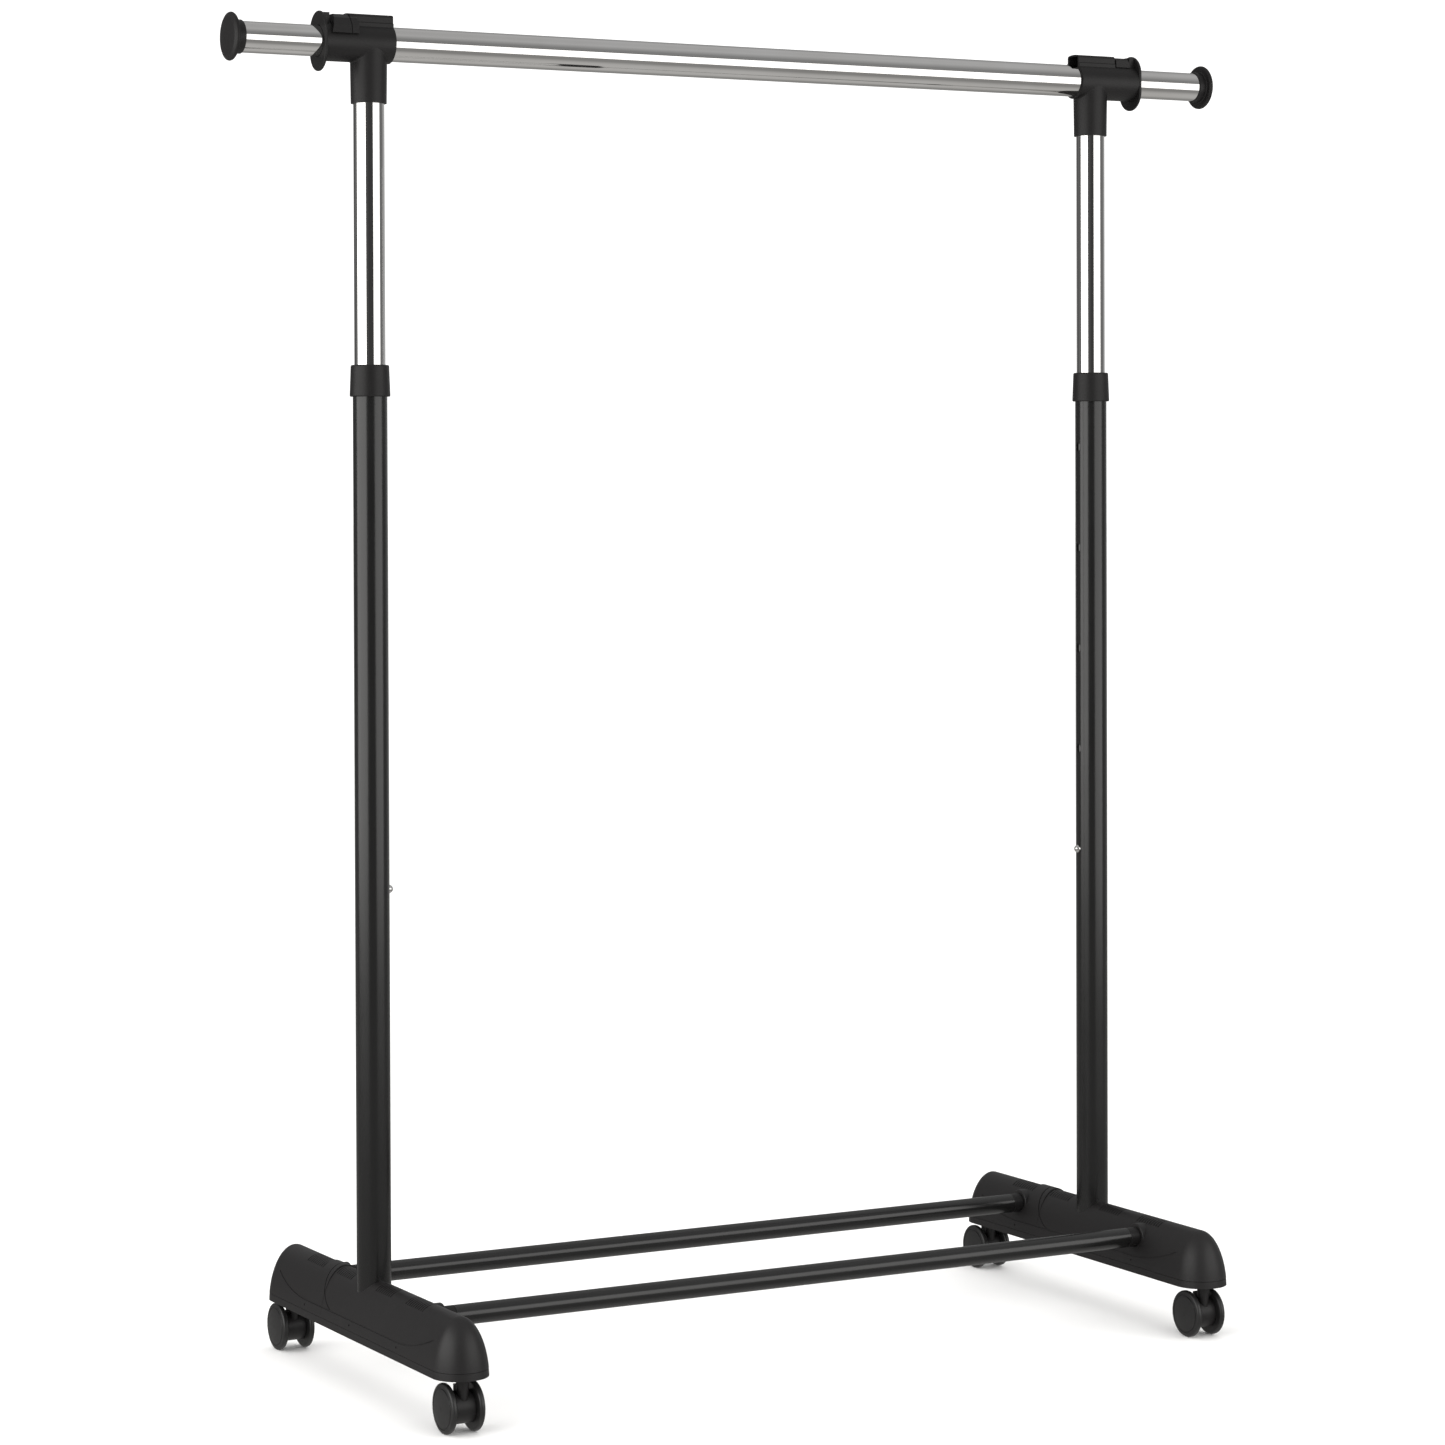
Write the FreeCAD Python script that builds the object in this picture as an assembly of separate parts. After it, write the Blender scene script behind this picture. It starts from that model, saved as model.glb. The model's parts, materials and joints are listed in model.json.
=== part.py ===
import FreeCAD, Part
import math
import os

# A rolling garment rail with one hanging rail on two telescopic columns.
# Millimetres. +X runs along the rail, +Y to the back, +Z up. The origin is on the floor, midway
# between the two columns. The rail stands at its lowest height, with both extension rods part out.

# Driving dimensions.
COLUMN_HALF_SPACING = 396.5
RAIL_HEIGHT = 1236.0
RAIL_RADIUS = 31.75 / 2
ROD_RADIUS = 28.6 / 2
TUBE_WALL = 1.0
GUIDE_CLEARANCE = 0.3
RUNNING_CLEARANCE = 0.05
GLIDE_CLEARANCE = 0.075

# Columns: a lower tube, and an upright that slides in it.
LOWER_TUBE_RADIUS = RAIL_RADIUS
LOWER_TUBE_BORE = LOWER_TUBE_RADIUS - TUBE_WALL
LOWER_TUBE_BOTTOM = 60.0
LOWER_TUBE_TOP = 938.5
UPRIGHT_RADIUS = ROD_RADIUS
UPRIGHT_BORE = UPRIGHT_RADIUS - TUBE_WALL
UPRIGHT_BOTTOM = 440.0
UPRIGHT_TOP = 1217.0
FIRST_HOLE_HEIGHT = 460.5
HOLE_PITCH = 101.6
HOLE_COUNT = 5
HOLE_RADIUS = 4.2
COLLAR_BOTTOM = 913.0
COLLAR_TOP = 942.0
COLLAR_BOTTOM_RADIUS = 18.65
COLLAR_TOP_RADIUS = 17.65

# Snap buttons and their leaf springs.
BUTTON_RADIUS = 3.9
BUTTON_STANDS_OUT = 4.5
BUTTON_FLANGE_RADIUS = 5.5
BUTTON_FLANGE_REACH = 11.9
LEAF_WIDTH = 8.0
LEAF_THICKNESS = 0.8
LEAF_FOOT_HEIGHT = 455.0
LEAF_BEND_HEIGHT = 505.0

# Rail, its T connectors, and the extension rods. Reaches are measured along X from the column's
# axis, outward positive. Rises are measured up from the rail's axis.
TEE_INNER_REACH = -20.3
TEE_SLEEVE_RADIUS = 18.0
TEE_RAIL_STOP = 8.0
TEE_FLANGE_REACH = 47.8
TEE_FLANGE_THICKNESS = 2.6
TEE_FLANGE_HALF_WIDTH = 18.6
TEE_FLANGE_HALF_HEIGHT = 27.5
TEE_STEM_BOTTOM = 1181.0
TEE_STEM_BOTTOM_RADIUS = 16.5
TEE_STEM_TOP_RADIUS = 17.2
TEE_BLEND = 1.5
HOOD_OUTER_REACH = 23.0
HOOD_TOP = 26.3
HOOD_HALF_WIDTH = 10.3
HOOD_SHOULDER = 23.0
HOOD_LEDGE = 18.0
HOOD_INNER_TOP = 24.4
HOOD_INNER_HALF_WIDTH = 7.8
HOOD_MOUTH_REACH = -12.0
EAR_START = 17.0
EAR_END = 23.6
RIDGE_START = 42.0
LEVER_PIN_REACH = 15.0
LEVER_PIN_RISE = 21.0
LEVER_PIN_RADIUS = 1.0
LEVER_PIN_HALF_LENGTH = 9.8
LEVER_PAD_START = 24.3
LEVER_PAD_END = 38.8
LEVER_SKIRT_END = 43.5
LEVER_TOP = 24.4
LEVER_SKIRT_RISE = 6.5
LEVER_HEEL = 2.6
BRAKE_START = 29.0
BRAKE_END = 33.0
BRAKE_HALF_WIDTH = 3.4
ROD_INNER_END = 132.5
ROD_OUTER_END = 529.5
CAP_RADIUS = 22.0
CAP_THICKNESS = 5.0
CAP_NECK_RADIUS = 15.4
CAP_NECK_LENGTH = 8.0

# Feet: an elliptic section swept along Y, with domed ends.
FOOT_BOTTOM = 50.5
FOOT_HALF_WIDTH = 26.3
FOOT_TOP = 103.0
FOOT_AXIS_HEIGHT = 46.0
FOOT_NOSE_CENTRE = 186.0
FOOT_SEAM = 57.5
FOOT_SEAM_GAP = 0.4
FOOT_WALL = 2.4
FOOT_FLOOR = 3.0
BAR_HALF_SPACING = 105.5
BAR_HEIGHT = 85.0
BAR_RADIUS = 9.5
BAR_BOSS_RADIUS = 13.0
BAR_BOSS_FACE = 20.0
BAR_PLUG_COLLAR = 11.0
CASTER_HALF_SPACING = 192.0

# Casters: twin wheels on a swivelling housing that trails behind its stem.
CASTER_TRAIL = 8.0
WHEEL_RADIUS = 22.5
WHEEL_INNER_FACE = 10.5
STEM_RADIUS = 4.0
STEM_TOP = 82.0
AXLE_RADIUS = 2.5
HUB_RADIUS = 14.6
HUB_HALF_WIDTH = 10.1
AXLE_HALF_LENGTH = 14.2
SOCKET_RADIUS = 6.5

LEFT, RIGHT = -1, 1
FRONT, BACK = -1, 1
SIDE_NAME = {LEFT: "left", RIGHT: "right"}
END_NAME = {FRONT: "front", BACK: "rear"}
FULL_TURN = 360.0
HALF_TURN = 180.0

AXIS_X = FreeCAD.Vector(1, 0, 0)
AXIS_Y = FreeCAD.Vector(0, 1, 0)
AXIS_Z = FreeCAD.Vector(0, 0, 1)


def vector(x, y, z):
    return FreeCAD.Vector(x, y, z)


def cylinder(radius, start, axis, length):
    return Part.makeCylinder(radius, length, start, axis)


def tube(outer, bore, start, axis, length):
    return cylinder(outer, start, axis, length).cut(cylinder(bore, start, axis, length))


def box(x_span, y_span, z_span):
    spans = [sorted(span) for span in (x_span, y_span, z_span)]
    corner = vector(*[low for low, high in spans])
    return Part.makeBox(*[high - low for low, high in spans], corner)


def closed_face(steps, place):
    """A flat face. Each step is a point, or a pair (middle, end) for an arc from the last point."""
    edges = []
    here = steps[0]
    for step in list(steps[1:]) + [steps[0]]:
        is_arc = isinstance(step[0], tuple)
        end = step[1] if is_arc else step
        if end == here:
            continue
        if is_arc:
            edges.append(Part.Arc(place(*here), place(*step[0]), place(*end)).toShape())
        else:
            edges.append(Part.makeLine(place(*here), place(*end)))
        here = end
    return Part.Face(Part.Wire(edges))


def turned(steps, origin, axis):
    """A solid of revolution from steps of (radius, distance along the axis from the origin)."""
    face = closed_face(steps, lambda radius, along: vector(radius, 0, along))
    solid = face.revolve(vector(0, 0, 0), AXIS_Z, FULL_TURN)
    solid.Placement = FreeCAD.Placement(origin, FreeCAD.Rotation(AXIS_Z, axis))
    return solid


def dome(edge_radius, edge_rise, top_rise):
    """The arc step of a spherical dome, from the last point (edge_radius, edge_rise) to the axis."""
    height = top_rise - edge_rise
    sphere_radius = (edge_radius**2 + height**2) / (2 * abs(height))
    half_angle = math.asin(edge_radius / sphere_radius) / 2
    direction = math.copysign(1, height)
    middle_rise = top_rise - direction * sphere_radius * (1 - math.cos(half_angle))
    return ((sphere_radius * math.sin(half_angle), middle_rise), (0, top_rise))


def section_along_x(steps, x_start, x_end, rise_origin):
    """A prism along X from steps of (y, rise)."""
    face = closed_face(steps, lambda y, rise: vector(x_start, y, rise_origin + rise))
    return face.extrude(vector(x_end - x_start, 0, 0))


def fused(first, *others):
    return first.fuse(list(others)).removeSplitter()


def save(name, *solids):
    shape = solids[0] if len(solids) == 1 else Part.makeCompound(solids)
    shape.exportStep("parts/" + name + ".step")


# ---------------------------------------------------------------- columns


def column_point(side, z):
    return vector(side * COLUMN_HALF_SPACING, 0, z)


def inward(side):
    return AXIS_X * -side


def lower_tube(side):
    length = LOWER_TUBE_TOP - LOWER_TUBE_BOTTOM
    body = tube(LOWER_TUBE_RADIUS, LOWER_TUBE_BORE, column_point(side, LOWER_TUBE_BOTTOM), AXIS_Z, length)
    for number in range(HOLE_COUNT):
        centre = column_point(side, FIRST_HOLE_HEIGHT + number * HOLE_PITCH)
        body = body.cut(cylinder(HOLE_RADIUS, centre, inward(side), 2 * LOWER_TUBE_RADIUS))
    return body


def collar(side):
    lip = UPRIGHT_RADIUS + GUIDE_CLEARANCE
    round_edge = 1.5
    steps = [
        (LOWER_TUBE_RADIUS, COLLAR_BOTTOM),
        (COLLAR_BOTTOM_RADIUS - 0.6, COLLAR_BOTTOM),
        (COLLAR_BOTTOM_RADIUS, COLLAR_BOTTOM + 0.8),
        (COLLAR_TOP_RADIUS, COLLAR_TOP - round_edge),
        ((COLLAR_TOP_RADIUS - 0.45, COLLAR_TOP - 0.45), (COLLAR_TOP_RADIUS - round_edge, COLLAR_TOP)),
        (lip, COLLAR_TOP),
        (lip, LOWER_TUBE_TOP),
        (LOWER_TUBE_RADIUS, LOWER_TUBE_TOP),
    ]
    return turned(steps, column_point(side, 0), AXIS_Z)


def upright(side):
    length = UPRIGHT_TOP - UPRIGHT_BOTTOM
    body = tube(UPRIGHT_RADIUS, UPRIGHT_BORE, column_point(side, UPRIGHT_BOTTOM), AXIS_Z, length)
    centre = column_point(side, FIRST_HOLE_HEIGHT)
    return body.cut(cylinder(HOLE_RADIUS, centre, inward(side), 2 * UPRIGHT_RADIUS))


def glide(origin, axis, bore):
    """A bush on a tube's inner end: a rim that runs in the outer tube, and a plug in this tube."""
    rim_radius = LOWER_TUBE_BORE - GLIDE_CLEARANCE
    rim_length = 5.0
    plug_length = 11.0
    hole_radius = 8.0
    steps = [
        (hole_radius, -rim_length),
        (rim_radius - 1, -rim_length),
        (rim_radius, 1 - rim_length),
        (rim_radius, 0),
        (bore, 0),
        (bore, plug_length),
        (hole_radius, plug_length),
    ]
    return turned(steps, origin, axis)


def snap_button(side):
    tip = LOWER_TUBE_RADIUS + BUTTON_STANDS_OUT
    shoulder = tip - BUTTON_RADIUS * 0.75
    dome_edge = BUTTON_RADIUS - 0.2
    flange_back = BUTTON_FLANGE_REACH - 1
    steps = [
        (0, flange_back),
        (BUTTON_FLANGE_RADIUS, flange_back),
        (BUTTON_FLANGE_RADIUS, BUTTON_FLANGE_REACH),
        (BUTTON_RADIUS, BUTTON_FLANGE_REACH),
        (BUTTON_RADIUS, shoulder),
        (dome_edge, shoulder + 0.2),
        dome(dome_edge, shoulder + 0.2, tip),
    ]
    return turned(steps, column_point(side, FIRST_HOLE_HEIGHT), inward(side))


def leaf_spring(side):
    """A bent strip: one leaf behind the button, the other against the far wall, joined at the top."""
    near = BUTTON_FLANGE_REACH - 1 - 0.2
    far = 1.5 - UPRIGHT_BORE
    middle = (near + far) / 2
    bend_radius = 4.0
    leaf_low = LEAF_FOOT_HEIGHT
    inner = bend_radius - LEAF_THICKNESS
    steps = [
        (near, leaf_low),
        (near, FIRST_HOLE_HEIGHT + BUTTON_FLANGE_RADIUS),
        (middle + bend_radius, LEAF_BEND_HEIGHT),
        ((middle, LEAF_BEND_HEIGHT + bend_radius), (middle - bend_radius, LEAF_BEND_HEIGHT)),
        (far, leaf_low + 4),
        (far + LEAF_THICKNESS, leaf_low + 4),
        (middle - inner, LEAF_BEND_HEIGHT),
        ((middle, LEAF_BEND_HEIGHT + inner), (middle + inner, LEAF_BEND_HEIGHT)),
        (near - LEAF_THICKNESS, FIRST_HOLE_HEIGHT + BUTTON_FLANGE_RADIUS),
        (near - LEAF_THICKNESS, leaf_low),
    ]
    column_x = side * COLUMN_HALF_SPACING
    face = closed_face(steps, lambda reach, z: vector(column_x - side * reach, -LEAF_WIDTH / 2, z))
    return face.extrude(vector(0, LEAF_WIDTH, 0))


# ---------------------------------------------------------------- rail, T connectors and rods


def outward(side):
    return AXIS_X * side


def rail():
    half_length = COLUMN_HALF_SPACING + TEE_RAIL_STOP
    start = vector(-half_length, 0, RAIL_HEIGHT)
    return tube(RAIL_RADIUS, RAIL_RADIUS - TUBE_WALL, start, AXIS_X, 2 * half_length)


def tee_sleeves():
    """The two crossed sleeves about the column's own axis, outward along +X, with a soft blend."""
    centre = vector(0, 0, RAIL_HEIGHT)
    start = centre + AXIS_X * TEE_INNER_REACH
    sleeve = cylinder(TEE_SLEEVE_RADIUS, start, AXIS_X, TEE_FLANGE_REACH - TEE_INNER_REACH)
    stem_height = RAIL_HEIGHT - TEE_STEM_BOTTOM
    foot_point = vector(0, 0, TEE_STEM_BOTTOM)
    stem = Part.makeCone(TEE_STEM_BOTTOM_RADIUS, TEE_STEM_TOP_RADIUS, stem_height, foot_point, AXIS_Z)
    joined = sleeve.fuse(stem).removeSplitter()
    crossing = []
    for edge in joined.Edges:
        limits = edge.BoundBox
        curved_seam = limits.ZLength > 2 and limits.XLength > 2 and limits.YLength > 2
        if curved_seam and limits.ZMax < RAIL_HEIGHT and limits.ZMin > TEE_STEM_BOTTOM + 1:
            crossing.append(edge)
    return joined.makeFillet(TEE_BLEND, crossing)


def tee_flange():
    """An upright oval plate with rounded edges, across the sleeve's outer end."""
    half_width = TEE_FLANGE_HALF_WIDTH
    straight = TEE_FLANGE_HALF_HEIGHT - half_width
    steps = [
        (-half_width, -straight),
        (-half_width, straight),
        ((0, TEE_FLANGE_HALF_HEIGHT), (half_width, straight)),
        (half_width, -straight),
        ((0, -TEE_FLANGE_HALF_HEIGHT), (-half_width, -straight)),
    ]
    outer_face = TEE_FLANGE_REACH + TEE_FLANGE_THICKNESS
    plate = section_along_x(steps, TEE_FLANGE_REACH, outer_face, RAIL_HEIGHT)
    return plate.makeFillet(1.0, [edge for edge in plate.Edges if edge.BoundBox.XLength < 0.1])


def hood_section():
    """An inverted U with a crowned top and a small ledge along each side."""
    side = HOOD_HALF_WIDTH
    top_edge = 7.6
    top_edge_rise = HOOD_TOP - 0.7
    skirt = side + 0.9
    foot_rise = 13.4
    return [
        (-skirt, foot_rise),
        (-skirt, HOOD_LEDGE - 0.5),
        (-side, HOOD_LEDGE + 0.3),
        (-side, HOOD_SHOULDER),
        ((-side + 0.75, HOOD_SHOULDER + 1.8), (-top_edge, top_edge_rise)),
        ((0, HOOD_TOP), (top_edge, top_edge_rise)),
        ((side - 0.75, HOOD_SHOULDER + 1.8), (side, HOOD_SHOULDER)),
        (side, HOOD_LEDGE + 0.3),
        (skirt, HOOD_LEDGE - 0.5),
        (skirt, foot_rise),
    ]


def deep_flank():
    """The flared side shared by the lever's deep skirt and the ear beside it, from the top down."""
    return [(13.6, LEVER_TOP - 3.6), (18.2, 14.0), (19.4, LEVER_SKIRT_RISE)]


def tee(side):
    """The connector. The ear is at the back of the right one and at the front of the left one."""
    hood = section_along_x(hood_section(), TEE_INNER_REACH, HOOD_OUTER_REACH, RAIL_HEIGHT)
    ear_steps = [(8.8, 22.9), (11.6, 22.2)] + deep_flank() + [(16.4, LEVER_SKIRT_RISE)]
    ear_steps = [(side * y, rise) for y, rise in ear_steps]
    ear = section_along_x(ear_steps, EAR_START, EAR_END, RAIL_HEIGHT)
    ridge = box(
        (RIDGE_START, TEE_FLANGE_REACH + 0.5),
        (-8.5, 8.5),
        (RAIL_HEIGHT + 10, RAIL_HEIGHT + 25.6),
    )
    body = fused(tee_sleeves(), tee_flange(), hood, ear, ridge)
    flange_end = TEE_FLANGE_REACH + TEE_FLANGE_THICKNESS + 1
    rod_bore = ROD_RADIUS + GUIDE_CLEARANCE
    half_cavity = (-HOOD_INNER_HALF_WIDTH, HOOD_INNER_HALF_WIDTH)
    cavity_rise = (RAIL_HEIGHT, RAIL_HEIGHT + HOOD_INNER_TOP)
    cavity = box((TEE_INNER_REACH - 1, EAR_END + 1), half_cavity, cavity_rise)
    sleeve_start = vector(HOOD_MOUTH_REACH, 0, RAIL_HEIGHT)
    cavity = cavity.cut(cylinder(TEE_SLEEVE_RADIUS, sleeve_start, AXIS_X, 80))
    window = box(
        (BRAKE_START - 1, BRAKE_END + 1.6),
        (-BRAKE_HALF_WIDTH - 0.6, BRAKE_HALF_WIDTH + 0.6),
        (RAIL_HEIGHT + 8, RAIL_HEIGHT + TEE_SLEEVE_RADIUS + 1),
    )
    rail_start = vector(TEE_INNER_REACH - 1, 0, RAIL_HEIGHT)
    stem_start = vector(0, 0, TEE_STEM_BOTTOM - 1)
    pin_seat = LEVER_PIN_HALF_LENGTH + 0.2
    pin_start = vector(LEVER_PIN_REACH, -pin_seat, RAIL_HEIGHT + LEVER_PIN_RISE)
    bores = [
        cylinder(RAIL_RADIUS, rail_start, AXIS_X, TEE_RAIL_STOP - TEE_INNER_REACH + 1),
        cylinder(rod_bore, vector(0, 0, RAIL_HEIGHT), AXIS_X, flange_end),
        cylinder(UPRIGHT_RADIUS, stem_start, AXIS_Z, UPRIGHT_TOP - TEE_STEM_BOTTOM + 1),
        cylinder(LEVER_PIN_RADIUS, pin_start, AXIS_Y, 2 * pin_seat),
    ]
    body = body.cut([cavity, window] + bores)
    for screw_body in tee_screws_local():
        body = body.cut(screw_body)
    return placed_at_side(body, side)


def placed_at_side(shape, side):
    """Takes a shape made about the column's axis with outward along +X to the side it serves."""
    turned_shape = shape.copy()
    if side == LEFT:
        turned_shape = turned_shape.mirror(vector(0, 0, 0), AXIS_X)
    turned_shape.translate(vector(side * COLUMN_HALF_SPACING, 0, 0))
    return turned_shape


def screw(head_centre, direction, length):
    """A pan-head screw whose head's underside is at head_centre and whose shank runs in direction."""
    head_radius, head_height, shank_radius = 3.2, 2.0, 1.5
    steps = [
        (0, -head_height),
        (head_radius - 1.2, -head_height),
        (head_radius, 0.9 - head_height),
        (head_radius, 0),
        (shank_radius, 0),
        (shank_radius, length - 1.5),
        (0.3, length),
        (0, length),
    ]
    recess = box((-0.5, 0.5), (-2, 2), (-head_height - 1, 0.9 - head_height))
    recess = recess.fuse(box((-2, 2), (-0.5, 0.5), (-head_height - 1, 0.9 - head_height)))
    body = turned(steps, vector(0, 0, 0), AXIS_Z).cut(recess)
    body.Placement = FreeCAD.Placement(head_centre, FreeCAD.Rotation(AXIS_Z, direction))
    return body


def tee_screws_local():
    """One screw holds the rail and one holds the upright, both from the back."""
    toward_front = AXIS_Y * -1
    rail_screw = screw(vector(-9, TEE_SLEEVE_RADIUS + 0.2, RAIL_HEIGHT), toward_front, 3.2)
    upright_screw = screw(vector(0, TEE_STEM_BOTTOM_RADIUS + 0.4, RAIL_HEIGHT - 40), toward_front, 5.5)
    return [rail_screw, upright_screw]


def tee_fasteners(side):
    """The connector's screws and the lock lever's pivot pin."""
    start = vector(LEVER_PIN_REACH, -LEVER_PIN_HALF_LENGTH, RAIL_HEIGHT + LEVER_PIN_RISE)
    pin = cylinder(LEVER_PIN_RADIUS, start, AXIS_Y, 2 * LEVER_PIN_HALF_LENGTH)
    return [placed_at_side(solid, side) for solid in tee_screws_local() + [pin]]


def rail_with_screw_holes():
    body = rail()
    for side in (LEFT, RIGHT):
        body = body.cut(placed_at_side(tee_screws_local()[0], side))
    return body


def upright_with_screw_hole(side):
    return upright(side).cut(placed_at_side(tee_screws_local()[1], side))


def lock_lever(side):
    """A saddle over the sleeve, with a brake shoe that reaches down to the rod. Its deep skirt is
    at the back of the right one and at the front of the left one."""
    deep = [(0, LEVER_TOP), (8.0, LEVER_TOP)] + deep_flank()
    shallow = [(-11.4, 15.0), (-10.9, 21.4), (-8.0, LEVER_TOP)]
    skirt = [(side * y, rise) for y, rise in deep + shallow]
    pad = section_along_x(skirt, LEVER_PAD_START, LEVER_SKIRT_END, RAIL_HEIGHT)
    slant = [
        (LEVER_PAD_END, LEVER_TOP),
        (LEVER_SKIRT_END, LEVER_SKIRT_RISE),
        (LEVER_SKIRT_END + 10, LEVER_SKIRT_RISE),
        (LEVER_SKIRT_END + 10, LEVER_TOP + 10),
        (LEVER_PAD_END, LEVER_TOP + 10),
    ]
    beyond = closed_face(slant, lambda reach, rise: vector(reach, -40, RAIL_HEIGHT + rise))
    pad = pad.cut(beyond.extrude(vector(0, 80, 0)))
    clear = TEE_SLEEVE_RADIUS + GUIDE_CLEARANCE
    pad = pad.cut(cylinder(clear, vector(0, 0, RAIL_HEIGHT), AXIS_X, 100))
    arm = box(
        (LEVER_PIN_REACH - LEVER_HEEL, LEVER_PAD_START + 0.5),
        (0.5 - HOOD_INNER_HALF_WIDTH, HOOD_INNER_HALF_WIDTH - 0.5),
        (RAIL_HEIGHT + 19.2, RAIL_HEIGHT + 22.8),
    )
    brake = box(
        (BRAKE_START, BRAKE_END),
        (-BRAKE_HALF_WIDTH, BRAKE_HALF_WIDTH),
        (RAIL_HEIGHT + ROD_RADIUS + 0.35, RAIL_HEIGHT + 20),
    )
    body = fused(pad, arm, brake)
    start = vector(LEVER_PIN_REACH, -20, RAIL_HEIGHT + LEVER_PIN_RISE)
    body = body.cut(cylinder(LEVER_PIN_RADIUS + RUNNING_CLEARANCE, start, AXIS_Y, 40))
    return placed_at_side(body, side)


def extension_rod(side):
    start = vector(side * ROD_INNER_END, 0, RAIL_HEIGHT)
    length = ROD_OUTER_END - ROD_INNER_END
    return tube(ROD_RADIUS, ROD_RADIUS - TUBE_WALL, start, outward(side), length)


def rod_glide(side):
    return glide(vector(side * ROD_INNER_END, 0, RAIL_HEIGHT), outward(side), ROD_RADIUS - TUBE_WALL)


def end_cap(side):
    """A disc with a neck outside the rod and a plug inside it."""
    edge = 1.8
    plug_length = 14.0
    bore = ROD_RADIUS - TUBE_WALL
    steps = [
        (0, -plug_length),
        (bore - 1, -plug_length),
        (bore, 1 - plug_length),
        (bore, 0),
        (ROD_RADIUS, 0),
        (ROD_RADIUS, -CAP_NECK_LENGTH),
        (CAP_NECK_RADIUS - 0.5, -CAP_NECK_LENGTH),
        (CAP_NECK_RADIUS, 0.6 - CAP_NECK_LENGTH),
        (CAP_NECK_RADIUS, -0.8),
        ((CAP_NECK_RADIUS + 0.3, -0.3), (CAP_NECK_RADIUS + 0.9, 0)),
        (CAP_RADIUS - edge, 0),
        ((CAP_RADIUS, CAP_THICKNESS / 2 - 0.4), (CAP_RADIUS - edge, CAP_THICKNESS - 1)),
        (CAP_RADIUS - 3.6, CAP_THICKNESS - 0.3),
        (CAP_RADIUS - 4.2, CAP_THICKNESS - 0.7),
        (CAP_RADIUS - 4.8, CAP_THICKNESS - 0.4),
        dome(CAP_RADIUS - 4.8, CAP_THICKNESS - 0.4, CAP_THICKNESS + 0.5),
    ]
    return turned(steps, vector(side * ROD_OUTER_END, 0, RAIL_HEIGHT), outward(side))


# ---------------------------------------------------------------- feet


def foot_form(side_inset, top_inset, z_low):
    """The foot's outer form about its own middle, shrunk by the insets and cut off below z_low."""
    half_width = FOOT_HALF_WIDTH - side_inset
    height = FOOT_TOP - FOOT_AXIS_HEIGHT - top_inset
    nose = FOOT_NOSE_CENTRE
    ellipse = Part.Ellipse(
        vector(0, 0, FOOT_AXIS_HEIGHT + height),
        vector(half_width, 0, FOOT_AXIS_HEIGHT),
        vector(0, 0, FOOT_AXIS_HEIGHT),
    )
    end_angle = math.acos((z_low - FOOT_AXIS_HEIGHT) / height)
    low_half_width = half_width * math.sin(end_angle)
    top_point = vector(0, 0, FOOT_AXIS_HEIGHT + height)
    low_point = vector(low_half_width, 0, z_low)
    quarter = Part.ArcOfEllipse(ellipse, 0, end_angle).toShape()
    base_edge = Part.makeLine(low_point, vector(0, 0, z_low))
    axis_edge = Part.makeLine(vector(0, 0, z_low), top_point)
    half_face = Part.Face(Part.Wire([quarter, base_edge, axis_edge]))
    rounded_half = half_face.revolve(vector(0, 0, 0), AXIS_Z, HALF_TURN)
    back = rounded_half.copy()
    back.translate(vector(0, nose, 0))
    front = rounded_half.copy()
    front.rotate(vector(0, 0, 0), AXIS_Z, HALF_TURN)
    front.translate(vector(0, -nose, 0))
    mirrored = half_face.copy().mirror(vector(0, 0, 0), AXIS_X)
    span = vector(0, 2 * nose, 0)
    middle = [face.extrude(span) for face in (half_face, mirrored)]
    for solid in middle:
        solid.translate(vector(0, -nose, 0))
    return fused(middle[0], middle[1], front, back)


def above(z):
    return box((-60, 60), (-260, 260), (z, 200))


def band_between(points_outer, points_inner, place):
    """A flat band between two lists of three points on arcs."""
    outer = Part.Arc(*[place(*point) for point in points_outer]).toShape()
    inner = Part.Arc(*[place(*point) for point in points_inner]).toShape()
    first = Part.makeLine(place(*points_outer[0]), place(*points_inner[0]))
    last = Part.makeLine(place(*points_outer[2]), place(*points_inner[2]))
    return Part.Face(Part.Wire([outer, last, inner, first]))


def arc_points(centre, radius, start, end):
    angles = [start, (start + end) / 2, end]
    return [(centre[0] + radius * math.cos(a), centre[1] + radius * math.sin(a)) for a in angles]


def side_lines():
    """Prisms along X whose section is the pair of styling lines incised on the foot's sides."""
    width = 1.3
    level = 67.0
    straight_end = 105.0
    sweep_radius = 181.0
    sweep_angle = math.radians(23.0)
    across = vector(80, 0, 0)
    low = -math.pi / 2

    def place(y, z):
        return vector(-40, y, z)

    prisms = [box((-40, 40), (-straight_end, straight_end), (level - width / 2, level + width / 2))]
    for end in (FRONT, BACK):
        centre = (end * straight_end, level + sweep_radius)
        outer = arc_points(centre, sweep_radius + width / 2, low, low + end * sweep_angle)
        inner = arc_points(centre, sweep_radius - width / 2, low, low + end * sweep_angle)
        prisms.append(band_between(outer, inner, place).extrude(across))
    ring_radius = 36.0
    ring_centre = (38.0, level + ring_radius)
    outer = arc_points(ring_centre, ring_radius + width / 2, low, 0)
    inner = arc_points(ring_centre, ring_radius - width / 2, low, 0)
    prisms.append(band_between(outer, inner, place).extrude(across))
    ring_y = ring_centre[0] + ring_radius
    prisms.append(box((-40, 40), (ring_y - width / 2, ring_y + width / 2), (ring_centre[1] - 1, 120)))
    return prisms


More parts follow.
